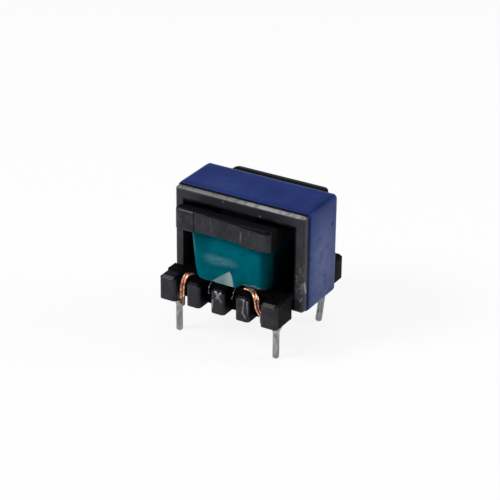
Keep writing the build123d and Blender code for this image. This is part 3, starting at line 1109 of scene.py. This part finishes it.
@dataclass
class Threads:
    """All the varnish threads that the photograph shows."""

    finishes: Finishes
    threads: Sequence[VarnishThread] = (
        VarnishThread("varnish_thread_left", ((-1.16, -4.86, 6.20), (-1.18, -5.1, 6.13), (-1.15, -5.4, 6.0),
                                              (-1.12, -5.62, 5.7), (-1.02, -5.68, 5.35))),
        VarnishThread("varnish_thread_right", ((1.20, -4.82, 6.20), (1.24, -5.08, 6.13), (1.27, -5.35, 5.95),
                                               (1.30, -5.5, 5.7), (1.22, -5.6, 5.4))),
    )

    def build(self) -> None:
        """Make the threads."""
        for thread in self.threads:
            thread.build(self.finishes)


@dataclass
class Carried:
    """CAD nodes whose shapes are right and only get their finish."""

    finishes: Finishes

    def build(self) -> None:
        """Dress every carried-over node."""
        made = self.finishes
        finish_of = {"bobbin": made.plastic, "core_half": made.ferrite, "_pin": made.pin, "_solder": made.solder,
                     "_lead": made.copper, "ary_winding": made.winding, "core_tape": made.core_tape,
                     "winding_tape": made.coil_tape}
        for node in sorted(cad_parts):
            dress(node, next(finish for word, finish in finish_of.items() if word in node))


@dataclass(frozen=True)
class Camera:
    """The photograph's camera, fitted to the pin grid; sizes in millimetres and degrees."""

    eye: Point = (80.668, -138.424, 87.091)
    target: Point = (0.200, 0.150, 7.558)
    roll: float = 0.609
    lens: float = 144.479
    shift_x: float = -0.01035
    shift_y: float = -0.00220
    sensor: float = 36.0
    clip: tuple[float, float] = (0.01, 20.0)

    def build(self) -> None:
        """Make the camera and set it as the scene's."""
        data = bpy.data.cameras.new("camera")
        data.sensor_width, data.sensor_height, data.sensor_fit = self.sensor, self.sensor, "AUTO"
        data.lens, data.shift_x, data.shift_y = self.lens, self.shift_x, self.shift_y
        data.clip_start, data.clip_end = self.clip
        camera = bpy.data.objects.new("camera", data)
        bpy.context.scene.collection.objects.link(camera)
        eye, target = Vector(self.eye) * MM, Vector(self.target) * MM
        turn = (target - eye).to_track_quat("-Z", "Y").to_matrix().to_4x4()
        camera.matrix_world = Matrix.Translation(eye) @ turn @ Matrix.Rotation(math.radians(self.roll), 4, "Z")
        bpy.context.scene.camera = camera


@dataclass(frozen=True)
class Lamp:
    """One soft white area lamp aimed at the object; sizes in metres and watts."""

    name: str
    place: Point
    size: float
    power: float
    aim: Point = (0.0, 0.0, 0.008)

    def build(self) -> None:
        """Make the lamp."""
        data = bpy.data.lights.new(self.name, "AREA")
        data.shape, data.size, data.energy = "DISK", self.size, self.power
        lamp = bpy.data.objects.new(self.name, data)
        bpy.context.scene.collection.objects.link(lamp)
        place = Vector(self.place)
        turn = (Vector(self.aim) - place).to_track_quat("-Z", "Y").to_matrix().to_4x4()
        lamp.matrix_world = Matrix.Translation(place) @ turn


@dataclass
class Studio:
    """Pale floor, white surroundings and soft lamps."""

    lamps: Sequence[Lamp] = field(default_factory=lambda: (
        Lamp("key", (-0.15, -0.19, 0.22), 0.12, 0.80),
        Lamp("side", (0.22, 0.13, 0.12), 0.12, 0.40),
        Lamp("top", (0.02, 0.05, 0.30), 0.12, 0.24),
    ))
    ambient: float = 0.20
    ceiling: float = 0.25
    horizon: tuple[float, float] = (0.12, 0.36)
    floor_half: float = 1.5
    floor_colour: Colour = (0.9, 0.9, 0.9)
    floor_glow: float = 0.88

    def floor(self) -> None:
        """Make the floor, which keeps the object's shadow."""
        mesh = bpy.data.meshes.new("floor")
        corners = [(x * self.floor_half, y * self.floor_half, 0) for x, y in ((-1, -1), (1, -1), (1, 1), (-1, 1))]
        mesh.from_pydata(corners, [], [(0, 1, 2, 3)])
        ground = bpy.data.objects.new("floor", mesh)
        bpy.context.scene.collection.objects.link(ground)
        s = Shader("pale_floor")
        lit = s.add("ShaderNodeBsdfDiffuse", None, {"Color": self.floor_colour})
        glow = s.add("ShaderNodeEmission", None, {"Color": WHITE, "Strength": 1.0})
        both = s.add("ShaderNodeMixShader", None, {0: s.directly_seen() * self.floor_glow,
                                                   1: Value(s, lit.outputs[0]), 2: Value(s, glow.outputs[0])})
        mesh.materials.append(s.close(both))

    def surroundings(self) -> None:
        """White to the eye and in gloss near the horizon, with a dim ceiling and a soft general light."""
        s = Shader("surroundings", Output.WORLD)
        coords = s.add("ShaderNodeTexCoord")
        split = s.add("ShaderNodeSeparateXYZ", None, {0: Value(s, coords.outputs["Generated"])})
        fall = 1.0 - (1.0 - self.ceiling) * s.ramp(Value(s, split.outputs["Z"]), *self.horizon)
        strength = (s.directly_seen() * (1.0 - self.ambient) + self.ambient) * fall
        bpy.context.scene.world = s.close(s.add("ShaderNodeBackground", None, {"Color": WHITE, "Strength": strength}))

    def build(self) -> None:
        """Make floor, surroundings and lamps."""
        self.floor()
        self.surroundings()
        for lamp in self.lamps:
            lamp.build()
        bpy.context.scene.view_settings.view_transform = "Standard"


def main() -> None:
    """Dress the model, then set the camera and the studio."""
    logging.basicConfig(level=logging.INFO, format="%(name)s: %(message)s")
    finishes = Finishes.make()
    for assembly in (Carried(finishes), CoreTape(finishes), CoilTape(finishes), FrontLeads(finishes), Threads(finishes),
                     Camera(), Studio()):
        assembly.build()
        LOG.info("built %s", type(assembly).__name__)


if __name__ == "__main__":
    main()
